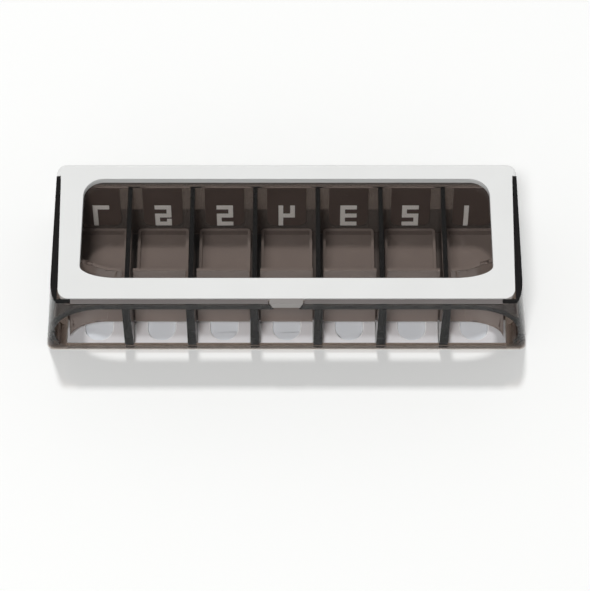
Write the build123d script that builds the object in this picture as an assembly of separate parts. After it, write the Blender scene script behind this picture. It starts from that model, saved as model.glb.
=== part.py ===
from build123d import *
import math
import os

# Weekly pill organizer: a flat smoked box with seven little drawers under a hinged white lid.
# X runs along the row of drawers, Y runs away from the drawer fronts, Z is up.
# The origin is the middle of the bottom. All sizes are in millimetres.

# ---- the row of cells
cell_count = 7
pitch = 20.0              # one day to the next

# ---- outer shape of the box
depth = 52.4              # front face to the back of the hinge bar
height = 28.5             # table to the top of the lid
side_run = 3.5            # top of the side wall, outside the outermost cell line
flare = 3.1               # each side leans out by this much towards the table
front_corner = 2.5        # radius of the upright front corners at the table
top_corner_run = 3.0      # at the top they are longer and flatter: along X
top_corner_depth = 9.0    # and along Y
back_corner = 3.2

# ---- walls of the smoked housing
side_wall = 2.3
front_wall = 1.6
lip_height = 2.6          # front lip and side sills
lip_wall = 1.1            # the lip is thinner than the wall over the opening
sill_inset = 0.2          # sills stop this far outside the outermost cell line
back_wall = 1.5
back_recess = 4.9         # free depth behind the top of the back wall, under the hinge bar
back_lean = 4.4           # the foot of the back wall stands this much nearer to the front
arch_top = 24.9           # crown of the front opening
arch_run = 16.0           # each rounded shoulder of the opening, along X
arch_drop = 13.9          # and down
arch_foot_run = 3.2       # lower corners of the opening, along X
arch_foot_rise = 5.9      # and up
rim_depth = 6.0           # the rim behind the opening is this deep
rim_thick = 1.2

# ---- cell dividers
divider_thick = 1.5
post_top = 2.5            # the front end of a divider is a thicker post
post_bottom = 3.0
post_length = 9.0
post_setback = 0.1        # post face behind the front face of the box
fit_gap = 0.1             # dividers, labels and other fixed pieces to the housing

# ---- white base
porch_floor = 2.0         # floor in front of the drawers
platform_top = 4.0        # the drawers slide on this
porch_depth = 9.6         # front face of the box to the platform
well_width = 8.8
well_depth = 1.2
well_front = 2.5          # front face of the box to the closed end of the well
well_back = 12.2
groove_width = 3.0        # holds the stop rib of a drawer
groove_depth = 1.2

# ---- drawers
drawer_front = 8.0        # front face of the box to the drawer front
drawer_rise = 0.2         # over the platform
drawer_height = 19.8      # the front; the sides and back are low
drawer_side = 3.4
drawer_lean = 6.5         # the front leans back by this much
drawer_wall = 0.9
drawer_floor = 1.0
side_play = 0.25          # drawer to post, each side
back_play = 0.6           # drawer to the back wall
drawer_corner = 1.2       # upright corners of a drawer
end_inset = 1.0           # an end drawer stops this far inside the outermost cell line
wing_front = 2.0          # the end drawers sweep forward to here
wing_start = 12.6         # the sweep starts this far inside the outermost cell line
wing_top_start = 17.0     # at the top it sweeps back instead, from here
wing_top_depth = 15.0
wing_back = 30.0          # front face of the box to the end of the tall part of the wing
arch_play = 0.5           # end drawers to the front opening
stop_width = 2.4
stop_inset = 0.3          # stop rib to the back of the drawer
stop_length = 1.5
stop_drop = 0.9
drawer_travel = 26.0
stop_play = 0.3

# ---- labels on the inside of the back wall
label_width = 12.6
label_low = 5.4           # foot of the wall to the foot of the label, along the wall
label_clear = 1.7         # top of the label to the top of the wall
label_thick = 0.5
label_corner = 2.5
digit_width = 5.4
digit_height = 9.4
digit_stroke = 1.6        # width of an upright stroke
digit_bar = 1.9           # height of a level stroke
digit_land = 0.5          # land that holds the middle of the 6
digit_middle = 9.9        # foot of the wall to the middle of the numeral
digit_play = 0.03         # inlaid numeral to the label

# ---- lid
lid_thick = 2.2
lid_front = 1.8           # front face of the box to the lid's front edge
lid_edge = 1.4            # outside of the side wall to the lid
lid_play = 0.2            # lid to the housing
lid_front_inset = 1.1     # the lid is this much narrower at the front, each side
lid_corner = 3.6
window_front = 9.3
window_back = 46.6
window_side = 5.3         # window edge inside the outermost cell line
window_back_corner = 6.4
window_front_run = 12.0   # the front corners of the window are long and low
window_front_rise = 4.6
pane_thick = 1.2
pane_lap = 1.4            # pane under the frame
pane_back_gap = 0.9       # pane to the back wall, room to swing
divider_gap = 0.3         # dividers under the pane

# ---- hinge
bar_depth = 4.6
bar_height = 2.3
bar_round = 1.0
bar_corner = 3.2
axis_below_lid = 5.4      # hinge axis under the top of the lid
axis_from_back = 2.4
knuckle_radius = 2.1
knuckle_width = 3.4
knuckle_gap = 0.3         # knuckle to ear
ear_radius = 2.3
pin_radius = 1.0
pin_play = 0.05
pin_length = 5.6

# ---- pale strip on the top of the front wall, on each side of the catch
strip_end = 67.0
strip_gap = 0.3           # strip to the catch
strip_thick = 0.6

# ---- catch at the front of the lid
catch_top_width = 10.6
catch_bottom_width = 8.6
catch_height = 2.6
catch_play = 0.15
scallop_width = 8.0
scallop_height = 1.0

# ---- worked out from the above
row_half = cell_count * pitch / 2
top_half = row_half + side_run
base_half = top_half + flare
front = -depth / 2
back = depth / 2
sill_half = row_half + sill_inset
back_wall_outer = back - back_recess
back_wall_inner = back_wall_outer - back_wall
lid_bottom = height - lid_thick
pane_bottom = lid_bottom - pane_thick
divider_top = pane_bottom - divider_gap
rest_top = lid_bottom - lid_play
drawer_bottom = platform_top + drawer_rise
drawer_top = drawer_bottom + drawer_height
axis_y = back - axis_from_back
axis_z = height - axis_below_lid
lid_half = top_half - lid_edge
ear_inner = top_half - side_wall + lid_play
wall_inner_front = front + front_wall
rim_back = wall_inner_front + rim_depth
post_back = front + post_setback + post_length
wall_foot = back_wall_inner - back_lean
drawer_back = wall_foot - back_play
wall_length = math.hypot(back_lean, rest_top - lip_height)
label_top = wall_length - label_clear
stop_front = drawer_back - stop_inset - stop_length
groove_front = stop_front - drawer_travel - stop_play


def block(x0, x1, y0, y1, z0, z1):
    """A box between two corners."""
    return Pos(min(x0, x1), min(y0, y1), min(z0, z1)) * Box(
        abs(x1 - x0), abs(y1 - y0), abs(z1 - z0), align=(Align.MIN, Align.MIN, Align.MIN))


def along_y(outline, y0, y1):
    """Extrude a face drawn in X and Z from y0 to y1."""
    return extrude(outline, amount=y1 - y0, dir=(0, 1, 0)).moved(Location((0, y0, 0)))


def along_x(outline, x0, x1):
    """Extrude a face drawn in Y and Z between x0 and x1."""
    start = Location((min(x0, x1), 0, 0))
    return extrude(outline, amount=abs(x1 - x0), dir=(1, 0, 0)).moved(start)


def side_face(*points):
    """A face in Y and Z with straight edges through points (y, z)."""
    loop = [(0, y, z) for y, z in points]
    return face_of(line(*loop, loop[0]))


def upright(outline, z0, z1):
    """Extrude a face drawn in X and Y from z0 to z1."""
    return extrude(outline, amount=z1 - z0, dir=(0, 0, 1)).moved(Location((0, 0, z0)))


def rod(x0, x1, radius):
    """A round bar along X on the hinge axis."""
    place = Plane(origin=(x0, axis_y, axis_z), x_dir=(0, 1, 0), z_dir=(1, 0, 0))
    return extrude(place * Circle(radius), amount=x1 - x0, dir=(1, 0, 0))


def face_of(edges):
    return make_face(Wire(edges))


def line(*points):
    """Straight edges through a list of points."""
    return [Edge.make_line(a, b) for a, b in zip(points, points[1:])]


def quarter(centre, start, end):
    """A quarter of an ellipse or circle about centre, from start to end."""
    corner = Vector(*start) + Vector(*end) - Vector(*centre)
    return Edge.make_bezier(Vector(*start), corner, Vector(*end), weights=[1, 0.5 ** 0.5, 1])


def wall_half(z):
    """Half the outer width of the box at a height."""
    return top_half + flare * (height - z) / height


def wall_inner(z):
    """Inner face of the leaning back wall at a height."""
    return back_wall_inner - back_lean * (rest_top - z) / (rest_top - lip_height)


# ---------------------------------------------------------------- housing

def outer_plan(half, run, deep, z):
    """Plan of the box at a height, with front corners run wide and deep."""
    inner = half - run
    rear = half - back_corner
    y0 = front + deep
    y1 = back - back_corner
    return face_of(
        line((-inner, front, z), (inner, front, z))
        + [quarter((inner, y0, z), (inner, front, z), (half, y0, z))]
        + line((half, y0, z), (half, y1, z))
        + [quarter((rear, y1, z), (half, y1, z), (rear, back, z))]
        + line((rear, back, z), (-rear, back, z))
        + [quarter((-rear, y1, z), (-rear, back, z), (-half, y1, z))]
        + line((-half, y1, z), (-half, y0, z))
        + [quarter((-inner, y0, z), (-half, y0, z), (-inner, front, z))])


def outer_body():
    low = outer_plan(base_half, front_corner, front_corner, 0)
    high = outer_plan(top_half, top_corner_run, top_corner_depth, height)
    return loft([low, high], ruled=True)


def room_outline(z0, z1, clear):
    """Section of the room between the side walls, which lean like the outside."""
    low = wall_half(z0) - clear
    high = wall_half(z1) - clear
    return face_of(line((-low, 0, z0), (low, 0, z0), (high, 0, z1), (-high, 0, z1), (-low, 0, z0)))


def arch_outline(grow):
    """Front opening: flat at the crown, with long rounded shoulders and rounded feet, grown all round."""
    spring = arch_top - arch_drop
    half = wall_half(spring) - side_wall + grow
    crown = wall_half(spring) - side_wall - arch_run
    top = arch_top + grow
    low = lip_height - grow
    knee = lip_height + arch_foot_rise
    foot = wall_half(spring) - side_wall - arch_foot_run
    return face_of(
        [quarter((-crown, 0, spring), (-half, 0, spring), (-crown, 0, top))]
        + line((-crown, 0, top), (crown, 0, top))
        + [quarter((crown, 0, spring), (crown, 0, top), (half, 0, spring))]
        + line((half, 0, spring), (half, 0, knee))
        + [quarter((foot, 0, knee), (half, 0, knee), (foot, 0, low))]
        + line((foot, 0, low), (-foot, 0, low))
        + [quarter((-foot, 0, knee), (-foot, 0, low), (-half, 0, knee))]
        + line((-half, 0, knee), (-half, 0, spring)))


def lid_outline(grow):
    """Plan of the lid plate up to the hinge bar, grown by a clearance."""
    y0 = front + lid_front - grow
    y1 = back - bar_depth
    near = lid_half - lid_front_inset + grow
    far = lid_half + grow
    shape = face_of(line((-near, y0, 0), (near, y0, 0), (far, y1, 0), (-far, y1, 0), (-near, y0, 0)))
    corners = [v for v in shape.vertices() if v.Y < y0 + 0.1]
    return fillet(corners, lid_corner + grow)


def catch_outline(grow):
    top = catch_top_width / 2 + grow
    low = catch_bottom_width / 2 + grow
    z0 = height - catch_height - grow
    return face_of(line((-top, 0, height), (top, 0, height), (low, 0, z0), (-low, 0, z0),
                        (-top, 0, height)))


def make_housing():
    body = outer_body()
    # the room for base, dividers and drawers, and the recess behind the back wall
    body -= block(-sill_half, sill_half, front + lip_wall, wall_foot, 0, lip_height)
    body -= along_y(room_outline(lip_height, height, side_wall), rim_back, back)
    # front opening, the hollow round its rim, and the seat of the lid
    body -= along_y(arch_outline(0), front, rim_back)
    body -= along_y(room_outline(lip_height, height, side_wall) - arch_outline(rim_thick),
                    wall_inner_front, rim_back)
    body -= upright(lid_outline(lid_play), rest_top, height)
    body -= block(-base_half, base_half, back - bar_depth - lid_play, back, axis_z, height)
    body += back_panel()
    body += ears()
    body -= rod(-base_half, base_half, pin_radius + pin_play)
    # notch for the catch, with a fingertip scallop under it
    body -= along_y(catch_outline(catch_play), front, wall_inner_front + lid_play)
    body -= block(-scallop_width / 2, scallop_width / 2, front, wall_inner_front,
                  height - catch_height - catch_play - scallop_height, height - catch_height)
    # seat of the pale strips
    end = strip_end + fit_gap
    body -= block(-end, end, front, wall_inner_front, height - strip_thick - fit_gap, height)
    return body


def make_strip(side):
    inner = catch_top_width / 2 + strip_gap
    return block(side * inner, side * strip_end, front + fit_gap, wall_inner_front - fit_gap,
                 height - strip_thick, height)


def back_panel():
    """The leaning back wall, between the side walls."""
    section = side_face((wall_foot, lip_height), (wall_foot + back_wall, lip_height),
                        (back_wall_outer, rest_top), (back_wall_inner, rest_top))
    room = along_y(room_outline(lip_height, rest_top, side_wall), wall_foot, back)
    return along_x(section, -base_half, base_half) & room


def ears():
    """Rounded hinge ears on the back ends of the side walls."""
    ear = rod(ear_inner, top_half, ear_radius)
    return ear + mirror(ear, about=Plane.YZ)


# ---------------------------------------------------------------- dividers

def post_section(x, z0):
    """Front view of a post from a height up to the crown of the opening."""
    z1 = arch_top - fit_gap
    top = post_top / 2
    low = top + (post_bottom - post_top) / 2 * (z1 - z0) / z1
    return face_of(line((x - low, 0, z0), (x + low, 0, z0), (x + top, 0, z1), (x - top, 0, z1),
                        (x - low, 0, z0)))


def make_divider(x):
    half = divider_thick / 2
    low = platform_top + fit_gap
    plate = side_face((post_back, low), (wall_inner(low) - fit_gap, low),
                      (wall_inner(divider_top) - fit_gap, divider_top), (post_back, divider_top))
    rear = front + porch_depth - fit_gap
    face = front + lip_wall + fit_gap
    post = along_y(post_section(x, fit_gap), face, rear)
    nose = along_y(post_section(x, lip_height + fit_gap), front + post_setback, face)
    heel = along_y(post_section(x, low), rear, post_back)
    return along_x(plate, x - half, x + half) + post + nose + heel


# ---------------------------------------------------------------- base

def well_outline(x):
    half = well_width / 2
    y0 = front + well_front
    y1 = front + well_back
    arc = Edge.make_three_point_arc((x - half, y0 + half, 0), (x, y0, 0), (x + half, y0 + half, 0))
    return face_of([arc] + line((x + half, y0 + half, 0), (x + half, y1, 0), (x - half, y1, 0),
                                (x - half, y0 + half, 0)))


def cell_centres():
    return [(i - (cell_count - 1) / 2) * pitch for i in range(cell_count)]


def cell_lines():
    return [(i - cell_count / 2) * pitch for i in range(1, cell_count)]


def make_base():
    half = sill_half - fit_gap
    rear = wall_foot - fit_gap
    near = front + lip_wall + fit_gap
    step = front + porch_depth
    base = block(-half, half, near, rear, 0, porch_floor) + block(-half, half, step, rear, 0, platform_top)
    for x in cell_centres():
        base -= upright(well_outline(x), porch_floor - well_depth, platform_top)
        base -= block(x - groove_width / 2, x + groove_width / 2, groove_front, rear,
                      platform_top - groove_depth, platform_top)
    slot = post_bottom / 2 + fit_gap
    for x in cell_lines():
        base -= block(x - slot, x + slot, near, step, 0, porch_floor)
    return base


# ---------------------------------------------------------------- drawers

def front_at(z):
    """How far back the drawer front is at a height."""
    return front + drawer_front + drawer_lean * (z - drawer_bottom) / drawer_height


def tray(x0, x1):
    """A drawer with straight sides: low sides and back, and a tall front that leans back."""
    side_top = drawer_bottom + drawer_side
    outer = side_face((front_at(drawer_bottom), drawer_bottom), (drawer_back, drawer_bottom),
                      (drawer_back, side_top), (front_at(side_top) + drawer_wall, side_top),
                      (front_at(drawer_top) + drawer_wall, drawer_top), (front_at(drawer_top), drawer_top))
    body = along_x(outer, x0, x1)
    rear = body.edges().filter_by(Axis.Z).filter_by(lambda e: e.center().Y > drawer_back - drawer_corner)
    return fillet(rear, drawer_corner)


def tray_room(x0, x1, rear):
    """The inside of a drawer, and the free space behind its front."""
    floor = drawer_bottom + drawer_floor
    room = side_face((front_at(floor) + drawer_wall, floor), (rear, floor), (rear, drawer_top),
                     (front_at(drawer_top) + drawer_wall, drawer_top))
    return along_x(room, x0, x1)


def wing_plan(near, far, side, inset, z):
    """Plan of an end drawer at its bottom or top, drawn in by the thickness of its wall."""
    low = z < drawer_top
    y0 = (front_at(drawer_bottom) if low else front_at(drawer_top)) + inset
    start = side * (row_half - (wing_start if low else wing_top_start))
    end_x = far - side * inset
    end_y = front + wing_front + inset if low else y0 + wing_top_depth
    centre = (start, end_y, z)
    back_y = drawer_back - inset
    near_x = near + side * inset
    return face_of(line((near_x, y0, z), (start, y0, z))
                   + [quarter(centre, (start, y0, z), (end_x, end_y, z))]
                   + line((end_x, end_y, z), (end_x, back_y, z), (near_x, back_y, z), (near_x, y0, z)))


def wing_drawer(x, side, half):
    """An end drawer: its front sweeps forward at the foot and back at the shoulder."""
    near = x - side * half
    far = side * (row_half - end_inset)
    shell = loft([wing_plan(near, far, side, 0, drawer_bottom), wing_plan(near, far, side, 0, drawer_top)],
                 ruled=True)
    room = loft([wing_plan(near, far, side, drawer_wall, drawer_bottom),
                 wing_plan(near, far, side, drawer_wall, drawer_top)], ruled=True)
    room -= block(-row_half, row_half, front, back, drawer_bottom, drawer_bottom + drawer_floor)
    body = (shell - room) & along_y(arch_outline(-arch_play), front, back)
    # low sides: only the front and the outer corner stand tall
    side_top = drawer_bottom + drawer_side
    rear = side_face((front_at(side_top) + drawer_wall, side_top), (back, side_top), (back, height),
                     (front_at(height) + drawer_wall, height))
    body -= along_x(rear, near - side, side * (row_half - wing_start))
    tall = block(side * (row_half - wing_start), side * row_half, front + wing_back, back, side_top, height)
    return body - tall


def make_drawer(number):
    x = cell_centres()[number]
    side = -1 if number == 0 else 1 if number == cell_count - 1 else 0
    half = (pitch - post_bottom) / 2 - side_play
    if side:
        body = wing_drawer(x, side, half)
    else:
        inner = half - drawer_wall
        body = tray(x - half, x + half) - tray_room(x - inner, x + inner, drawer_back - drawer_wall)
    rib = block(x - stop_width / 2, x + stop_width / 2, stop_front, stop_front + stop_length,
                drawer_bottom - stop_drop, drawer_bottom)
    return body + rib


# ---------------------------------------------------------------- labels

SEGMENTS = {1: "bc", 2: "abged", 3: "abgcd", 4: "fgbc", 5: "afgcd", 6: "afgedc", 7: "abc"}


def stroke_box(name, numeral):
    """Left, right, bottom and top of one stroke, from the middle of the numeral."""
    wide = digit_width / 2
    tall = digit_height / 2
    bar = digit_bar / 2
    if name in "agd":
        middle = {"a": tall - bar, "g": 0, "d": bar - tall}[name]
        return -wide, wide, middle - bar, middle + bar
    left, right = (wide - digit_stroke, wide) if name in "bc" else (-wide, digit_stroke - wide)
    if numeral == SEGMENTS[6] and name == "e":
        return left, right, -tall, -bar - digit_land
    return (left, right, -bar, tall) if name in "bf" else (left, right, -tall, bar)


def numeral_body(number, play, y0, y1):
    """The strokes of a numeral that reads from behind, drawn in by a play."""
    x = cell_centres()[number]
    numeral = SEGMENTS[cell_count - number]
    strokes = []
    for name in numeral:
        left, right, low, high = stroke_box(name, numeral)
        strokes.append(block(x - left - play, x - right + play, y0, y1, digit_middle + low + play,
                             digit_middle + high - play))
    return strokes[0].fuse(*strokes[1:])


def on_wall(piece):
    """Lay a piece drawn upright against the inner face of the leaning back wall."""
    lean = math.degrees(math.atan2(back_lean, rest_top - lip_height))
    return piece.moved(Location((0, wall_foot, lip_height), (-lean, 0, 0)))


def make_label(number):
    x = cell_centres()[number]
    half = label_width / 2
    shape = face_of(line((x - half, 0, label_low), (x + half, 0, label_low), (x + half, 0, label_top),
                         (x - half, 0, label_top), (x - half, 0, label_low)))
    feet = [v for v in shape.vertices() if v.Z < label_top - 1]
    plate = along_y(fillet(feet, label_corner), -fit_gap - label_thick, -fit_gap)
    return on_wall(plate - numeral_body(number, 0, -back_wall, 0))


def make_numeral(number):
    """White numeral let into the label, as thick as the label."""
    return on_wall(numeral_body(number, digit_play, -fit_gap - label_thick, -fit_gap))


# ---------------------------------------------------------------- lid

def window_outline(grow):
    half = row_half - window_side + grow
    y0 = front + window_front - grow
    y1 = front + window_back + grow
    run = window_front_run
    rise = window_front_rise
    corner = window_back_corner
    left = quarter((-half + run, y0 + rise, 0), (-half, y0 + rise, 0), (-half + run, y0, 0))
    right = quarter((half - run, y0 + rise, 0), (half - run, y0, 0), (half, y0 + rise, 0))
    back_right = quarter((half - corner, y1 - corner, 0), (half, y1 - corner, 0), (half - corner, y1, 0))
    back_left = quarter((-half + corner, y1 - corner, 0), (-half + corner, y1, 0),
                        (-half, y1 - corner, 0))
    return face_of([left] + line((-half + run, y0, 0), (half - run, y0, 0)) + [right]
                   + line((half, y0 + rise, 0), (half, y1 - corner, 0)) + [back_right]
                   + line((half - corner, y1, 0), (-half + corner, y1, 0)) + [back_left]
                   + line((-half, y1 - corner, 0), (-half, y0 + rise, 0)))


def make_lid_frame():
    plate = upright(lid_outline(0), lid_bottom, height)
    bar = block(-top_half, top_half, back - bar_depth, back, height - bar_height, height)
    bar = fillet([e for e in bar.edges() if e.center().Y > back - 0.1 and abs(e.center().X) > 1], bar_corner)
    bar = fillet([e for e in bar.edges() if e.center().Y > back - bar_depth + 0.1
                  and e.center().Z > height - 0.1], bar_round)
    frame = plate + bar - upright(window_outline(0), lid_bottom, height)
    for side in (-1, 1):
        inner = side * (ear_inner - knuckle_gap - knuckle_width)
        outer = side * (ear_inner - knuckle_gap)
        knuckle = rod(min(inner, outer), max(inner, outer), knuckle_radius)
        web = block(inner, outer, axis_y - knuckle_radius, axis_y + knuckle_radius, axis_z,
                    height - bar_height)
        frame += knuckle + web
    return frame - rod(-base_half, base_half, pin_radius)


def make_pane():
    half = row_half - window_side + pane_lap
    y0 = front + window_front - pane_lap
    y1 = back_wall_inner - pane_back_gap
    pane = block(-half, half, y0, y1, pane_bottom, lid_bottom)
    return fillet([e for e in pane.edges() if abs(e.center().Z - (pane_bottom + lid_bottom) / 2) < 0.01],
                  lid_corner)


def make_catch():
    return along_y(catch_outline(0), front, front + lid_front)


def make_pin(side):
    inner = side * (ear_inner - knuckle_gap - knuckle_width)
    return rod(min(inner, inner + side * pin_length), max(inner, inner + side * pin_length), pin_radius)


def save(shape, name):
    shape.label = name
    export_step(shape, f"parts/{name}.step")


def main():
    os.makedirs("parts", exist_ok=True)
    save(make_housing(), "housing")
    save(make_base(), "base_plate")
    for i, x in enumerate(cell_lines()):
        save(make_divider(x), f"divider_{i + 1}")
    for i in range(cell_count):
        save(make_drawer(i), f"drawer_{cell_count - i}")
        save(make_label(i), f"label_{cell_count - i}")
        save(make_numeral(i), f"numeral_{cell_count - i}")
    save(make_strip(-1), "edge_strip_left")
    save(make_strip(1), "edge_strip_right")
    save(make_lid_frame(), "lid_frame")
    save(make_pane(), "window_pane")
    save(make_catch(), "lid_catch")
    save(make_pin(-1), "hinge_pin_left")
    save(make_pin(1), "hinge_pin_right")


main()
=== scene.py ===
import math

import bpy
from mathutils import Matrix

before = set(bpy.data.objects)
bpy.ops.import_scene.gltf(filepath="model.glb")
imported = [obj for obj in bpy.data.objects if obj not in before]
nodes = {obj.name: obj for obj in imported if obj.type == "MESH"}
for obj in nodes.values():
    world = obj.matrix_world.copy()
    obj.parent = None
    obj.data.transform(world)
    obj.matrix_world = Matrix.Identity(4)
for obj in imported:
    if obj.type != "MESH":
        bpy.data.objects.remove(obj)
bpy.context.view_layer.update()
scene = bpy.context.scene

# ---- camera: where the photograph was taken from
ELEVATION = 58.5                      # degrees above the table
LENS = 150.17                         # mm, on a sensor of the width below
SENSOR = 36.0
CAMERA_PLACE = (0.00269, -0.42219, 0.67941)
CLIP = (0.05, 20)                     # nearest and furthest that the camera sees

# ---- colours: a pair is the two tones that a broad noise blends
SMOKE_TINT = (0.26, 0.145, 0.072)     # hue that the depth of smoked plastic lets through best
SMOKE_SURFACE = ((0.97, 0.96, 0.95), (1.0, 1.0, 1.0))
SMOKE_SHADOW = (0.96, 0.96, 0.96)     # what each surface leaves of the light of a lamp
DRAWER_SHADOW = (0.55, 0.52, 0.5)
DRAWER_TONES = ((0.34, 0.28, 0.25), (0.31, 0.255, 0.23))
CATCH_TONES = ((0.29, 0.275, 0.265), (0.26, 0.245, 0.235))
# strip on the front wall's top: its grey is partly a painted highlight on the rim
STRIP_HIGHLIGHT_TONES = ((0.18, 0.165, 0.16), (0.155, 0.14, 0.135))
BASE_TONES = ((0.77, 0.80, 0.84), (0.74, 0.77, 0.81))
LID_TONES = ((0.79, 0.795, 0.785), (0.76, 0.765, 0.755))
LABEL_TONES = ((0.095, 0.068, 0.058), (0.12, 0.088, 0.076))
NUMERAL_TONES = ((0.95, 0.92, 0.88), (0.92, 0.89, 0.85))
STEEL_TONES = ((0.52, 0.52, 0.53), (0.64, 0.64, 0.65))

# ---- smoked plastic: absorption per metre, gloss and reflections
HOUSING_DENSITY = 750.0
DIVIDER_DENSITY = 1000.0
PANE_DENSITY = 50.0
SMOKE_IOR = 1.42
DARK_CLARITY = 0.985                  # transmission of the housing and dividers
DRAWER_CLARITY = 0.4
PLAIN_GLEAM = (1, 1, 1)
PAINTED_SHADE_GLEAM = (0.10, 0.09, 0.085)      # tint of reflections on the dark parts, dimmed: painted shade in what they reflect

# ---- opaque and milky plastic, and the noises on all of them
PLASTIC_IOR = 1.49
FULL_GLOSS = 0.5
LID_GLOSS = 0.25
NOISE_SPAN = (0.3, 0.7)               # values of a noise that are spread from one tone to the other
GLOSS_SCALE = 900.0                   # scales of the noises, per metre
SMOKE_SCALE = 60.0
DRAWER_SCALE = 70.0
WEAR_SCALE = 45.0
GRAIN_SCALE = 1400.0
STEEL_SCALE = 1200.0
NOISE_DETAIL = 3.0
WEAR_DETAIL = 4.0
GRAIN_DETAIL = 2.0
FINE_GRAIN = 0.00002                  # depth of the satin grain
COARSE_GRAIN = 0.00003
GRAIN_STRENGTH = 0.3
WAVE_DEPTH = 0.0002                   # depth and strength of the waviness of clear faces
WAVE_STRENGTH = 0.1
SMOKE_SPREAD = (0.6, 1.6)             # least and most roughness, as shares of the one given
MOULDED_SPREAD = (0.85, 1.2)
DRAWER_SPREAD = (0.7, 1.4)
STEEL_ROUGHNESS = (0.22, 0.38)

# ---- zones of painted shade and painted highlight within a piece, by place in its own coordinates
ZONE_BLEND = 0.0001
BACK_START = 0.010                    # painted shade: the back wall is darker than the rest of the housing
BACK_HALF = 0.0708
BACK_PAINTED_SHADE = (0.34, 0.30, 0.275)
BACK_CLARITY = 0.72
BASE_PAINTED_LIGHT_ZONES = [("Z", 0.0010, (1.0, 1.0, 1.0)),         # rims of the finger wells, white: painted highlight
              ("Z", 0.0019, (0.73, 0.72, 0.735)),     # floor round the wells, greyer: painted shade under the arch
              ("Z", 0.0024, (0.10, 0.083, 0.075))]    # under the drawers, dark: painted shade

# ---- rounds on the edges
SMALL_ROUND = 0.00012
EDGE_ROUND = {
    "lid_frame": 0.0003,
    "base_plate": 0.0004,
    "housing": 0.0002,
    "drawer": 0.0003,
    "divider": 0.0003,
}
ROUND_STEPS = 2
ROUND_ANGLE = 35                      # degrees between faces from which an edge is rounded
WELD_DISTANCE = 0.000001

# ---- surroundings
FLOOR_HALF = 3.0
FLOOR_COLOUR = (0.98, 0.985, 0.975)
FLOOR_GLOW_COLOUR = (0.98, 0.985, 0.97)
FLOOR_GLOW = 0.10                     # share of the floor's white that shadows leave alone
TENT_LOW = 0.6                        # brightness near the horizon and overhead
TENT_HIGH = 0.06
TENT_EDGE = (0.45, 0.75)              # height of the direction where it darkens
LAMP_POWER = 29.0
BACK_LAMP_PLACE = (-0.12, 1.12, 2.33)
BACK_LAMP_SIZE = 0.18                 # small, for the sharp shadow towards the viewer
FRONT_LAMP_PLACE = (-0.35, -1.25, 2.25)
FRONT_LAMP_SIZE = 0.5

# sockets of the Mix node when it blends colours
MIX_FIRST = 6
MIX_SECOND = 7
MIX_RESULT = 2


def make_camera():
    data = bpy.data.cameras.new("camera")
    data.lens = LENS
    data.sensor_width = SENSOR
    data.sensor_fit = "HORIZONTAL"
    data.clip_start, data.clip_end = CLIP
    camera = bpy.data.objects.new("camera", data)
    camera.location = CAMERA_PLACE
    camera.rotation_euler = (math.radians(90 - ELEVATION), 0, 0)
    scene.collection.objects.link(camera)
    scene.camera = camera


# ---- node helpers
def new_material(name):
    material = bpy.data.materials.new(name)
    material.use_nodes = True
    tree = material.node_tree
    tree.nodes.clear()
    out = tree.nodes.new("ShaderNodeOutputMaterial")
    return material, tree, out


def add(tree, kind, values=None, **settings):
    node = tree.nodes.new(kind)
    for key, value in settings.items():
        setattr(node, key, value)
    for key, value in (values or {}).items():
        node.inputs[key].default_value = value
    return node


def maths(tree, operation, *values):
    """One operation on numbers or on outputs of other nodes."""
    node = add(tree, "ShaderNodeMath", operation=operation)
    for socket, value in zip(node.inputs, values):
        if isinstance(value, float):
            socket.default_value = value
        else:
            tree.links.new(value, socket)
    return node.outputs["Value"]


def place_parts(tree):
    """X, Y and Z of the shaded point, in the object's own space."""
    place = add(tree, "ShaderNodeTexCoord")
    split = add(tree, "ShaderNodeSeparateXYZ")
    tree.links.new(place.outputs["Object"], split.inputs["Vector"])
    return split.outputs


def noise(tree, scale, detail=NOISE_DETAIL):
    place = add(tree, "ShaderNodeTexCoord")
    texture = add(tree, "ShaderNodeTexNoise", {"Scale": scale, "Detail": detail})
    tree.links.new(place.outputs["Object"], texture.inputs["Vector"])
    return texture.outputs["Fac"]


def ramp(tree, factor, low, high, start=NOISE_SPAN[0], end=NOISE_SPAN[1]):
    """A value that runs from low to high as factor goes from start to end."""
    node = add(tree, "ShaderNodeMapRange",
               {"From Min": start, "From Max": end, "To Min": low, "To Max": high})
    tree.links.new(factor, node.inputs["Value"])
    return node.outputs["Result"]


def roughness(tree, factor, middle, spread):
    """Roughness that a noise varies about a middle value."""
    return ramp(tree, factor, middle * spread[0], middle * spread[1])


def colours(tree, factor, tones):
    """The first tone where factor is low, the second where it is high."""
    low, high = tones
    node = add(tree, "ShaderNodeMix", data_type="RGBA")
    node.inputs[MIX_FIRST].default_value = (*low, 1)
    node.inputs[MIX_SECOND].default_value = (*high, 1)
    tree.links.new(ramp(tree, factor, 0, 1), node.inputs["Factor"])
    return node.outputs[MIX_RESULT]


def beyond(tree, axis, start):
    """0 before a place along an axis of the object, 1 behind it."""
    return ramp(tree, place_parts(tree)[axis], 0, 1, start, start + ZONE_BLEND)


def back_shade_mask(tree):
    """1 on the back wall, between the side walls, where shade is painted."""
    from_middle = maths(tree, "ABSOLUTE", place_parts(tree)["X"])
    between = ramp(tree, from_middle, 1, 0, BACK_HALF, BACK_HALF + ZONE_BLEND)
    return maths(tree, "MULTIPLY", beyond(tree, "Y", BACK_START), between)


def cover(tree, mask, colour, other):
    """Another colour where the mask is 1."""
    mix = add(tree, "ShaderNodeMix", data_type="RGBA")
    mix.inputs[MIX_SECOND].default_value = (*other, 1)
    tree.links.new(mask, mix.inputs["Factor"])
    tree.links.new(colour, mix.inputs[MIX_FIRST])
    return mix.outputs[MIX_RESULT]


def bump(tree, height, distance, strength):
    node = add(tree, "ShaderNodeBump", {"Strength": strength, "Distance": distance})
    tree.links.new(height, node.inputs["Height"])
    return node.outputs["Normal"]


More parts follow.
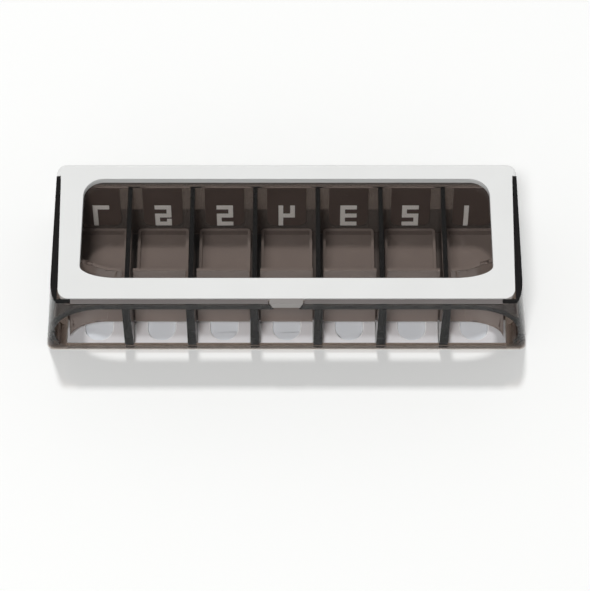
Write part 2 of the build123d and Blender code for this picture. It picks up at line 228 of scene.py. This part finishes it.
def blend_shaders(tree, factor, first, second, out):
    """The surface is the first shader where factor is 0, and the second where it is 1."""
    mix = add(tree, "ShaderNodeMixShader")
    tree.links.new(factor, mix.inputs["Fac"])
    tree.links.new(first, mix.inputs[1])
    tree.links.new(second, mix.inputs[2])
    tree.links.new(mix.outputs["Shader"], out.inputs["Surface"])


def let_lamps_through(tree, shell, colour, out):
    """Rays towards a lamp meet a clear surface of this colour, all others the shell."""
    clear = add(tree, "ShaderNodeBsdfTransparent", {"Color": (*colour, 1)})
    path = add(tree, "ShaderNodeLightPath")
    blend_shaders(tree, path.outputs["Is Shadow Ray"], shell.outputs["BSDF"], clear.outputs["BSDF"], out)


# ---- materials
def smoke(name, density, rough, clarity=1.0, gleam=PLAIN_GLEAM, painted_shade_back=False):
    """Clear smoked plastic: the depth of the material darkens it, and lamps shine through."""
    material, tree, out = new_material(name)
    shell = add(tree, "ShaderNodeBsdfPrincipled",
                {"Transmission Weight": clarity, "IOR": SMOKE_IOR, "Specular Tint": (*gleam, 1)})
    fine = noise(tree, GLOSS_SCALE)
    broad = noise(tree, SMOKE_SCALE)
    tint = colours(tree, broad, SMOKE_SURFACE)
    # painted shade: a darker colour and less transmission on the back wall
    if painted_shade_back:
        shaded_back = back_shade_mask(tree)
        tint = cover(tree, shaded_back, tint, BACK_PAINTED_SHADE)
        tree.links.new(ramp(tree, shaded_back, clarity, BACK_CLARITY, 0, 1),
                       shell.inputs["Transmission Weight"])
    tree.links.new(tint, shell.inputs["Base Color"])
    tree.links.new(roughness(tree, fine, rough, SMOKE_SPREAD), shell.inputs["Roughness"])
    tree.links.new(bump(tree, broad, WAVE_DEPTH, WAVE_STRENGTH), shell.inputs["Normal"])
    let_lamps_through(tree, shell, SMOKE_SHADOW, out)
    volume = add(tree, "ShaderNodeVolumeAbsorption", {"Color": (*SMOKE_TINT, 1), "Density": density})
    tree.links.new(volume.outputs["Volume"], out.inputs["Volume"])
    return material


def tinted(name, tones, clarity, rough):
    """Smoky plastic with some milk in it, so that floors and thin edges keep one tone."""
    material, tree, out = new_material(name)
    shell = add(tree, "ShaderNodeBsdfPrincipled", {"Transmission Weight": clarity, "IOR": PLASTIC_IOR})
    fine = noise(tree, GLOSS_SCALE)
    broad = noise(tree, DRAWER_SCALE)
    tree.links.new(colours(tree, broad, tones), shell.inputs["Base Color"])
    tree.links.new(roughness(tree, fine, rough, DRAWER_SPREAD), shell.inputs["Roughness"])
    tree.links.new(bump(tree, broad, WAVE_DEPTH, WAVE_STRENGTH), shell.inputs["Normal"])
    let_lamps_through(tree, shell, DRAWER_SHADOW, out)
    return material


def moulded(name, tones, rough, grain, gloss=FULL_GLOSS, zones=()):
    """Opaque moulded plastic with a fine satin grain and faint wear; the zones given paint shade and
    highlight.
    """
    material, tree, out = new_material(name)
    shell = add(tree, "ShaderNodeBsdfPrincipled", {"IOR": PLASTIC_IOR, "Specular IOR Level": gloss})
    broad = noise(tree, WEAR_SCALE, WEAR_DETAIL)
    fine = noise(tree, GRAIN_SCALE, GRAIN_DETAIL)
    colour = colours(tree, broad, tones)
    for axis, start, other in zones:
        colour = cover(tree, beyond(tree, axis, start), colour, other)
    tree.links.new(colour, shell.inputs["Base Color"])
    tree.links.new(roughness(tree, broad, rough, MOULDED_SPREAD), shell.inputs["Roughness"])
    tree.links.new(bump(tree, fine, grain, GRAIN_STRENGTH), shell.inputs["Normal"])
    tree.links.new(shell.outputs["BSDF"], out.inputs["Surface"])
    return material


def steel(name):
    """Ground steel."""
    material, tree, out = new_material(name)
    shell = add(tree, "ShaderNodeBsdfPrincipled", {"Metallic": 1.0})
    fine = noise(tree, STEEL_SCALE)
    tree.links.new(colours(tree, fine, STEEL_TONES), shell.inputs["Base Color"])
    tree.links.new(ramp(tree, fine, *STEEL_ROUGHNESS), shell.inputs["Roughness"])
    tree.links.new(shell.outputs["BSDF"], out.inputs["Surface"])
    return material


def make_looks():
    """The material of each kind of piece, by the start of its name."""
    return {
        "housing": smoke("smoke_housing", HOUSING_DENSITY, rough=0.04, clarity=DARK_CLARITY,
                         gleam=PAINTED_SHADE_GLEAM, painted_shade_back=True),
        "divider": smoke("smoke_divider", DIVIDER_DENSITY, rough=0.03, clarity=DARK_CLARITY,
                         gleam=PAINTED_SHADE_GLEAM),
        "drawer": tinted("smoke_drawer", DRAWER_TONES, rough=0.12, clarity=DRAWER_CLARITY),
        "window_pane": smoke("smoke_pane", PANE_DENSITY, rough=0.02),
        "lid_catch": moulded("smoke_catch", CATCH_TONES, rough=0.35, grain=FINE_GRAIN),
        "edge_strip": moulded("edge_strip", STRIP_HIGHLIGHT_TONES, rough=0.35, grain=FINE_GRAIN),
        "base_plate": moulded("white_base", BASE_TONES, rough=0.35, grain=FINE_GRAIN, zones=BASE_PAINTED_LIGHT_ZONES),
        "lid_frame": moulded("white_lid", LID_TONES, rough=0.5, grain=FINE_GRAIN, gloss=LID_GLOSS),
        "label": moulded("label_dark", LABEL_TONES, rough=0.4, grain=COARSE_GRAIN),
        "numeral": moulded("numeral_white", NUMERAL_TONES, rough=0.4, grain=COARSE_GRAIN),
        "hinge_pin": steel("pin_steel"),
    }


def round_edges(node, size):
    """Moulded edges are never sharp: a small round catches the light."""
    weld = node.modifiers.new("weld", "WELD")
    weld.merge_threshold = WELD_DISTANCE
    bevel = node.modifiers.new("bevel", "BEVEL")
    bevel.width = size
    bevel.segments = ROUND_STEPS
    bevel.limit_method = "ANGLE"
    bevel.angle_limit = math.radians(ROUND_ANGLE)
    # the base has short edges, and clamping would shrink all of its rounds to fit them
    bevel.use_clamp_overlap = not node.name.startswith("base_plate")


def dress():
    looks = make_looks()
    for name, node in nodes.items():
        look = next(material for start, material in looks.items() if name.startswith(start))
        node.data.materials.clear()
        node.data.materials.append(look)
        kind = name.rstrip("_1234567")
        round_edges(node, EDGE_ROUND.get(kind, SMALL_ROUND))


# ---- surroundings
def make_floor():
    data = bpy.data.meshes.new("floor")
    corners = [(-FLOOR_HALF, -FLOOR_HALF, 0), (FLOOR_HALF, -FLOOR_HALF, 0),
               (FLOOR_HALF, FLOOR_HALF, 0), (-FLOOR_HALF, FLOOR_HALF, 0)]
    data.from_pydata(corners, [], [(0, 1, 2, 3)])
    floor = bpy.data.objects.new("floor", data)
    scene.collection.objects.link(floor)
    material, tree, out = new_material("floor_white")
    shell = add(tree, "ShaderNodeBsdfPrincipled",
                {"Base Color": (*FLOOR_COLOUR, 1), "Roughness": 0.5, "Specular IOR Level": 0.2, "IOR": 1.5})
    glow = add(tree, "ShaderNodeEmission", {"Color": (*FLOOR_GLOW_COLOUR, 1), "Strength": 1.0})
    path = add(tree, "ShaderNodeLightPath")
    seen = path.outputs["Is Camera Ray"]
    for name in ("Is Glossy Ray", "Is Transmission Ray"):
        seen = maths(tree, "MAXIMUM", seen, path.outputs[name])
    share = maths(tree, "MULTIPLY", seen, FLOOR_GLOW)
    blend_shaders(tree, share, shell.outputs["BSDF"], glow.outputs["Emission"], out)
    data.materials.append(material)


def make_world():
    """A light tent: bright low down all round, dark overhead."""
    world = bpy.data.worlds.new("studio")
    world.use_nodes = True
    tree = world.node_tree
    background = tree.nodes["Background"]
    background.inputs["Color"].default_value = (1, 1, 1, 1)
    place = add(tree, "ShaderNodeTexCoord")
    split = add(tree, "ShaderNodeSeparateXYZ")
    tree.links.new(place.outputs["Generated"], split.inputs["Vector"])
    level = ramp(tree, split.outputs["Z"], TENT_LOW, TENT_HIGH, *TENT_EDGE)
    tree.links.new(level, background.inputs["Strength"])
    scene.world = world


def area_lamp(name, place, size):
    """A square lamp that faces the object, hidden from reflections and from rays through glass."""
    data = bpy.data.lights.new(name, "AREA")
    data.size = size
    data.energy = LAMP_POWER
    lamp = bpy.data.objects.new(name, data)
    lamp.location = place
    x, y, z = place
    tilt = math.atan2(math.hypot(x, y), z)
    lamp.rotation_euler = (tilt, 0, math.atan2(y, x) + math.pi / 2)
    lamp.visible_glossy = False
    lamp.visible_transmission = False
    scene.collection.objects.link(lamp)


make_camera()
dress()
make_floor()
make_world()
area_lamp("back_lamp", BACK_LAMP_PLACE, BACK_LAMP_SIZE)
area_lamp("front_lamp", FRONT_LAMP_PLACE, FRONT_LAMP_SIZE)

scene.view_settings.view_transform = "Standard"
